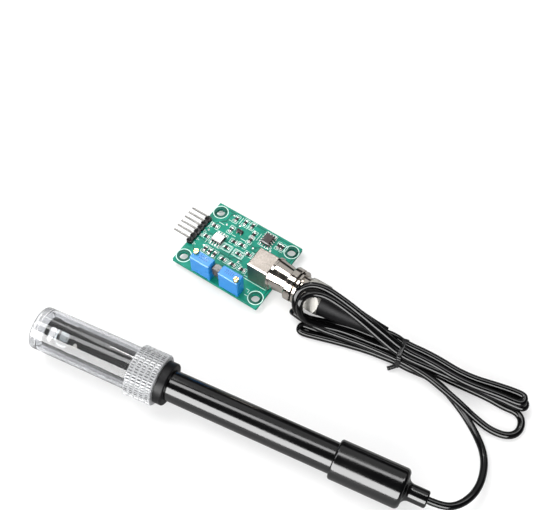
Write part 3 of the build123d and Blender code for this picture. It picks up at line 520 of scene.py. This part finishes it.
tin_solder = handled_material(
    "tin_solder", {"Base Color": (0.34, 0.34, 0.33, 1.0), "Metallic": 1.0},
    least=0.2, most=0.45, cloud_scale=900.0, bump=(0.25, 0.06 * mm))
dress(tin_solder, "solder_joints", "trimmer_leads", "sensor_leads", "amplifier_leads",
      "transistor_leads", "resistor_ends")

pin_plate = handled_material(
    "pin_plate", {"Base Color": (0.2, 0.195, 0.185, 1.0), "Metallic": 1.0},
    least=0.3, most=0.45, cloud_scale=500.0)
dress(pin_plate, "header_pins")

black_moulding = handled_material(
    "black_moulding", {"Base Color": (0.005, 0.005, 0.0055, 1.0), "Specular IOR Level": 0.22},
    least=0.22, most=0.42, cloud_scale=500.0, bump=(0.25, 0.05 * mm))
dress(black_moulding, "header_strip", "transistor_body", "chip_resistors")

chip_epoxy = handled_material(
    "chip_epoxy", {"Base Color": (0.05, 0.042, 0.042, 1.0)},
    least=0.07, most=0.13, cloud_scale=400.0, bump=(0.1, 0.03 * mm))
dress(chip_epoxy, "amplifier_chips", "sensor_body")

blue_moulding = handled_material(
    "blue_moulding", {"Base Color": (0.003, 0.21, 0.58, 1.0)},
    least=0.22, most=0.42, cloud_scale=250.0, bump=(0.15, 0.05 * mm))
dress(blue_moulding, "trimmer_1_body", "trimmer_2_body")

screw_brass = handled_material(
    "screw_brass", {"Base Color": (0.83, 0.62, 0.27, 1.0), "Metallic": 1.0},
    least=0.15, most=0.35, cloud_scale=600.0)
dress(screw_brass, "trimmer_1_screw", "trimmer_2_screw")


# Marks on the board: white print round the parts, tinned pads under their ends, darker tracks
# below the lacquer, and a ring round each screw hole. All are thin layers on the board's face,
# and their places are in millimetres from its middle, along its own axes.

board_place = Matrix.Translation(board_origin) @ Matrix.Rotation(jack_turn[2], 4, "Z")
screw_holes = [(u, v) for u in (-18, 18) for v in (13.1, -13.1)]
amplifier_sites = ((-10.75, 1.3), (6.6, 12.4))
trimmer_sites = ((-6.0, -14.3), (6.4, -14.1))
trimmer_height = 10.0
chip_sites = [
    (-12.6, -5.6, 90), (-10.2, -5.7, 90), (-7.9, -5.7, 90), (-3.5, -5.5, 0), (1.2, -5.5, 0),
    (5.9, -5.3, 0), (-5.7, -0.1, 0), (0.3, 0.0, 0), (-16.0, 6.0, 0), (-15.8, -0.2, 0),
    (-10.4, 13.8, 90), (-6.1, 14.4, 90), (-9.2, 8.2, 90), (-4.5, 3.9, 0), (-0.9, 4.4, 0),
    (-2.7, 14.6, 90), (0.2, 11.3, 90), (0.5, 8.4, 90), (4.0, 2.2, 0), (13.6, 12.6, 90),
    (12.0, 12.6, 90),
]


def stroke(mesh, start, end, width):
    """Flat bar from one board place to another."""
    way = Vector((end[0] - start[0], end[1] - start[1], 0)) * mm
    middle = Vector((start[0] + end[0], start[1] + end[1], 0)) * mm / 2
    bmesh.ops.create_grid(
        mesh, x_segments=1, y_segments=1, size=0.5,
        matrix=Matrix.Translation(middle) @ Matrix.Rotation(atan2(way.y, way.x), 4, "Z")
        @ Matrix.Diagonal((way.length + width * mm, width * mm, 1, 1)))


def frame_round(mesh, place, heading, length, width, line, gap=0.0):
    """Printed box round a part, open by a gap in the middle of its long sides."""
    turn = Matrix.Rotation(radians(heading), 2)
    corners = [Vector(place) + turn @ Vector((a * length / 2, b * width / 2))
               for a, b in ((-1, -1), (1, -1), (1, 1), (-1, 1))]
    for number, corner in enumerate(corners):
        following = corners[(number + 1) % 4]
        if gap and number % 2 == 0:
            share = (length - gap) / 2 / length
            stroke(mesh, corner, corner.lerp(following, share), line)
            stroke(mesh, following, following.lerp(corner, share), line)
        else:
            stroke(mesh, corner, following, line)


def round_mark(mesh, place, outer, inner=0.0):
    """Flat disc or ring."""
    at = Matrix.Translation((place[0] * mm, place[1] * mm, 0))
    if not inner:
        bmesh.ops.create_circle(mesh, cap_ends=True, segments=20, radius=outer * mm, matrix=at)
        return
    edges = []
    for radius in (outer, inner):
        made = bmesh.ops.create_circle(mesh, segments=48, radius=radius * mm, matrix=at)
        edges += {edge for vertex in made["verts"] for edge in vertex.link_edges}
    bmesh.ops.bridge_loops(mesh, edges=edges)


def board_layer(name, mesh, level, thickness, material):
    """Thicken flat marks and lay them on the board at a level above its face."""
    bmesh.ops.recalc_face_normals(mesh, faces=mesh.faces)
    for face in mesh.faces:
        if face.normal.z < 0:
            face.normal_flip()
    pushed = bmesh.ops.extrude_face_region(mesh, geom=mesh.faces[:])
    bmesh.ops.translate(mesh, vec=(0, 0, thickness * mm),
                        verts=[v for v in pushed["geom"] if isinstance(v, bmesh.types.BMVert)])
    bmesh.ops.translate(mesh, vec=(0, 0, level * mm), verts=mesh.verts)
    bmesh.ops.recalc_face_normals(mesh, faces=mesh.faces)
    mesh.transform(board_place)
    made = bpy.data.meshes.new(name)
    mesh.to_mesh(made)
    mesh.free()
    made.materials.append(material)
    piece = bpy.data.objects.new(name, made)
    scene.collection.objects.link(piece)
    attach(piece, "board")


track_width = 0.34
track_green = handled_material(
    "track_green", {"Base Color": (0.0, 0.085, 0.058, 1.0), "Specular IOR Level": 0.2},
    least=0.3, most=0.5, cloud_scale=200.0)
tracks = bmesh.new()
for line in (
    ((-19.9, 15.9), (19.4, 15.9), (20.2, 15.1), (20.2, -15.6)),
    ((-19.6, 10.0), (-19.6, 12.0), (-15.2, 15.4)), ((-19.0, 7.0), (-17.2, 7.0), (-13.4, 10.6)),
    ((-13.4, 10.6), (-13.4, 14.6), (-12.4, 15.4)), ((-19.0, 1.9), (-13.8, 1.9)),
    ((-19.0, -0.6), (-17.6, -2.2), (-13.8, -2.2)), ((-19.0, -5.8), (-16.0, -8.8), (-3.0, -8.8)),
    ((-13.0, -3.6), (-1.6, -3.6), (0.2, -2.2), (3.6, -2.2)), ((-2.6, -0.1), (-2.6, -3.0)),
    ((-1.8, -8.0), (-1.8, -11.6)), ((3.8, -8.2), (3.8, -11.6)),
    ((-8.2, 1.3), (-7.2, 2.4), (-6.6, 3.9)),
    ((3.0, 4.6), (8.4, 4.6), (9.4, 5.6), (9.4, 8.4)), ((1.8, 6.4), (4.6, 6.4), (6.0, 7.8)),
    ((2.2, 10.6), (3.2, 10.6)), ((8.6, -3.4), (8.6, -9.8), (10.0, -11.2)),
    ((10.6, 5.0), (15.0, 5.0), (16.6, 6.6), (16.6, 9.0)), ((-8.0, 10.8), (-8.0, 13.0)),
    ((7.2, -6.9), (7.2, -9.4)), ((17.2, -9.4), (17.2, 8.6)), ((18.6, -9.0), (18.6, 8.8)),
):
    for start, end in zip(line, line[1:]):
        stroke(tracks, start, end, track_width)
for place in screw_holes:
    round_mark(tracks, place, outer=2.85, inner=1.86)
board_layer("board_tracks", tracks, level=0.002, thickness=0.012,
            material=track_green)

pad_width = 0.6
chip_pad_reach, chip_pad_length = 1.22, 0.68
lead_pitch, lead_near, lead_far = 1.27, 2.35, 3.3
through_pad_radius = 0.42
pads = bmesh.new()
for u, v, heading in chip_sites:
    turn = Matrix.Rotation(radians(heading), 2)
    across = turn @ Vector((0, chip_pad_length))
    for side in (-1, 1):
        middle = Vector((u, v)) + turn @ Vector((side * chip_pad_reach, 0))
        stroke(pads, middle - across * 0.5, middle + across * 0.5, pad_width)
for u, v in amplifier_sites:
    for step in (-1.5, -0.5, 0.5, 1.5):
        for side in (-1, 1):
            stroke(pads, (u + lead_pitch * step, v + side * lead_near),
                   (u + lead_pitch * step, v + side * lead_far), pad_width)
for place in ((-12.2, 14.8), (-12.2, 9.3), (3.7, 5.7), (-7.2, 11.8), (14.6, 4.2), (2.4, -3.0),
              (-14.2, -4.4), (9.8, 2.0), (-17.0, 3.0), (4.6, -9.8), (-0.4, 13.0), (10.4, 8.6)):
    round_mark(pads, place, through_pad_radius)
board_layer("board_pads", pads, level=0.004, thickness=0.03,
            material=tin_solder)

header_pitch, header_middle, pin_count = 2.54, 0.4, 6
print_width = 0.22
print_white = handled_material(
    "print_white", {"Base Color": (0.62, 0.86, 0.78, 1.0), "Specular IOR Level": 0.2},
    least=0.5, most=0.7, cloud_scale=300.0)
printed = bmesh.new()
for place in screw_holes:
    round_mark(printed, place, outer=3.3, inner=2.95)
for u, v, heading in chip_sites:
    frame_round(printed, (u, v), heading, length=4.1, width=2.3, line=0.2, gap=1.2)
for place in ((-5.7, -0.1), (0.3, 0.0)):
    frame_round(printed, place, 0, length=4.9, width=3.2, line=0.3)
for place in amplifier_sites:
    frame_round(printed, place, 90, length=7.4, width=5.4, line=0.16, gap=5.0)
for number in range(pin_count):
    place = header_middle + (number - (pin_count - 1) / 2) * header_pitch
    stroke(printed, (-18.3, place - 0.55), (-18.3, place + 0.55), 0.3)
    stroke(printed, (-17.9, place), (-17.4, place), 0.25)
for start, end in (
    ((8.3, -6.9), (19.8, -6.9)), ((8.3, -8.0), (19.2, -8.0)), ((12.6, -11.6), (14.0, -11.6)),
    ((14.0, -11.6), (14.0, -12.9)), ((14.9, -12.9), (14.9, -14.2)), ((13.4, -14.2), (14.9, -14.2)),
    ((-3.2, 6.9), (-0.6, 6.9)), ((2.6, 9.9), (2.6, 13.6)), ((-4.2, 12.2), (-4.2, 16.0)),
    ((-8.2, 12.6), (-8.2, 16.0)), ((4.6, 3.9), (6.4, 3.9)), ((15.6, 10.8), (15.6, 14.4)),
    ((-15.4, 8.6), (-13.2, 8.6)), ((-14.6, -3.0), (-14.6, -1.2)), ((-12.8, 11.9), (-11.4, 11.9)),
    ((-7.4, 6.4), (-5.8, 6.4)), ((9.9, 8.9), (9.9, 10.2)), ((2.0, -3.6), (4.2, -3.6)),
):
    stroke(printed, start, end, print_width)
board_layer("board_print", printed, level=0.006, thickness=0.016,
            material=print_white)

# two rows of short strokes stand for the marks on each trimmer's top
stroke_pitch, stroke_half_length, row_offset = 0.85, 0.22, 0.55
marks_blue = handled_material(
    "marks_blue", {"Base Color": (0.004, 0.05, 0.26, 1.0)},
    least=0.4, most=0.6, cloud_scale=300.0)
pressed = bmesh.new()
for u, v in trimmer_sites:
    for step in range(5):
        for row in (-row_offset, row_offset):
            across = u + stroke_pitch * (step - 2)
            stroke(pressed, (across, v + row - stroke_half_length),
                   (across, v + row + stroke_half_length), 0.3)
board_layer("trimmer_marks", pressed, level=trimmer_height + 0.002, thickness=0.015,
            material=marks_blue)


# Studio: a white table under soft boxes. The front box makes the wide bright band along the
# probe, the overhead one the thin band, and the wall behind lights the flat metal.

floor = bmesh.new()
bmesh.ops.create_grid(floor, x_segments=1, y_segments=1, size=3.0)
floor_mesh = bpy.data.meshes.new("table")
floor.to_mesh(floor_mesh)
floor.free()
table = bpy.data.objects.new("table", floor_mesh)
scene.collection.objects.link(table)


def shine_mask(tree, rays):
    """1 for a ray that comes off a shiny surface, and 0 for one that goes on through glass."""
    return add_node(tree, "Math", {0: rays["Is Glossy Ray"], 1: rays["Is Transmission Ray"]},
                    operation="SUBTRACT", use_clamp=True).outputs["Value"]


# The table is darker where shiny pieces mirror it, and glows for the camera, less so near them,
# where it keeps their shadows.
table_tone, tone_lost_in_shine = 0.93, 0.5
table_white, tree, shader, position = new_material(
    "table_white", {"Roughness": 0.7, "Specular IOR Level": 0.1})
rays = add_node(tree, "LightPath", {}).outputs
white_level = add_node(tree, "Math", {0: shine_mask(tree, rays), 1: -tone_lost_in_shine,
                                      2: table_tone}, operation="MULTIPLY_ADD")
tree.links.new(white_level.outputs["Value"], shader.inputs["Base Color"])
distance = add_node(tree, "VectorMath", {0: position}, operation="LENGTH")
fade = add_node(tree, "MapRange", {"Value": distance.outputs["Value"], "From Min": 0.25,
                                   "From Max": 0.9, "To Min": 0.45, "To Max": 1.0})
lit = add_node(tree, "Math", {0: rays["Is Camera Ray"], 1: fade.outputs["Result"]},
               operation="MULTIPLY")
glow = add_node(tree, "Emission", {"Strength": 1.0})
blend_glow = add_node(tree, "MixShader", {"Fac": lit.outputs["Value"],
                                          1: shader.outputs["BSDF"],
                                          2: glow.outputs["Emission"]})
tree.links.new(blend_glow.outputs["Shader"], tree.nodes["Material Output"].inputs["Surface"])
floor_mesh.materials.append(table_white)

# The room is white to the camera and through glass, dimmer as a light, and dimmest in shine.
room_light, room_in_shine = 0.42, 0.12
room = bpy.data.worlds.new("room")
scene.world = room
room.use_nodes = True
tree = room.node_tree
rays = add_node(tree, "LightPath", {}).outputs
seen = add_node(tree, "Math", {0: rays["Is Camera Ray"], 1: rays["Is Transmission Ray"]},
                operation="MAXIMUM")
level = add_node(tree, "MapRange", {"Value": seen.outputs["Value"], "To Min": room_light,
                                    "To Max": 1.0})
mirrored = add_node(tree, "MapRange", {"Value": shine_mask(tree, rays), "To Min": 1.0,
                                       "To Max": room_in_shine})
strength = add_node(tree, "Math", {0: level.outputs["Result"], 1: mirrored.outputs["Result"]},
                    operation="MULTIPLY")
background = tree.nodes["Background"]
background.inputs["Color"].default_value = (1.0, 1.0, 1.0, 1.0)
tree.links.new(strength.outputs["Value"], background.inputs["Strength"])


def soft_box(name, place, aim, width, height, radiance, glossy):
    """Rectangular lamp that faces a point, seen in shine only or by matt surfaces only."""
    lamp = bpy.data.lights.new(name, "AREA")
    lamp.shape = "RECTANGLE"
    lamp.size = width
    lamp.size_y = height
    lamp.energy = radiance * pi * width * height
    lamp_object = bpy.data.objects.new(name, lamp)
    lamp_object.location = place
    lamp_object.rotation_euler = (Vector(aim) - Vector(place)).to_track_quat("-Z", "Y").to_euler()
    lamp_object.visible_glossy = glossy
    lamp_object.visible_diffuse = not glossy
    lamp_object.visible_transmission = False
    scene.collection.objects.link(lamp_object)


probe_line = (0.0, -0.03, 0.0)
soft_box("front_fill", (-0.1, -0.75, 0.42), probe_line, 1.3, 0.5, 4.4, False)
soft_box("rear_fill", (-0.1, 0.45, 0.75), probe_line, 1.2, 0.16, 5.0, False)
soft_box("top_fill", (-0.45, 0.1, 0.8), (0.0, 0.0, 0.0), 0.5, 0.5, 6.4, False)
soft_box("front_shine", (-0.1, -0.72, 0.32), probe_line, 1.5, 0.56, 16.0, True)
soft_box("top_shine", (-0.1, 0.1, 0.8), probe_line, 1.3, 0.2, 8.5, True)
soft_box("rear_wall", (-0.15, 0.75, 0.75), probe_line, 1.6, 0.8, 0.75, True)
soft_box("board_shine", (-0.33, 0.44, 0.72), (-0.04, 0.03, 0.0), 0.13, 0.25, 5.0, True)
soft_box("chip_shine", (-0.265, 0.409, 0.672), (-0.038, 0.031, 0.005), 0.045, 0.05, 45.0, True)
